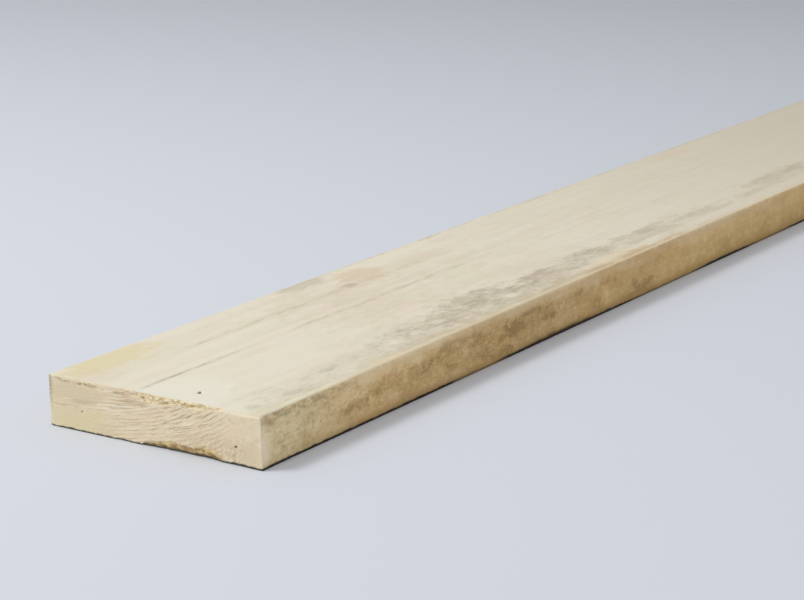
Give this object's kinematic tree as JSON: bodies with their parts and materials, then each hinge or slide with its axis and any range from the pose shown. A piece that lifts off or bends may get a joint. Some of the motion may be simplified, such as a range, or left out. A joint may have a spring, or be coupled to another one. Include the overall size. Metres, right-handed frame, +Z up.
{
  "type": "timber plank",
  "caption": "Straight rough-sawn softwood plank of rectangular section with square cross-cut ends and slightly worn arrises.",
  "frame": {"origin": "centre of the plank's underside", "axes": "+X along the grain, away from the torn near end; +Y across the width, towards the back edge; +Z up through the thickness"},
  "size_m": [2, 0.1, 0.02],
  "materials": {
    "sawn_softwood": "rough-sawn, dry, unplaned softwood with weathering stains"
  },
  "bodies": {
    "root": {"plank": "sawn_softwood"}
  },
  "joints": []
}
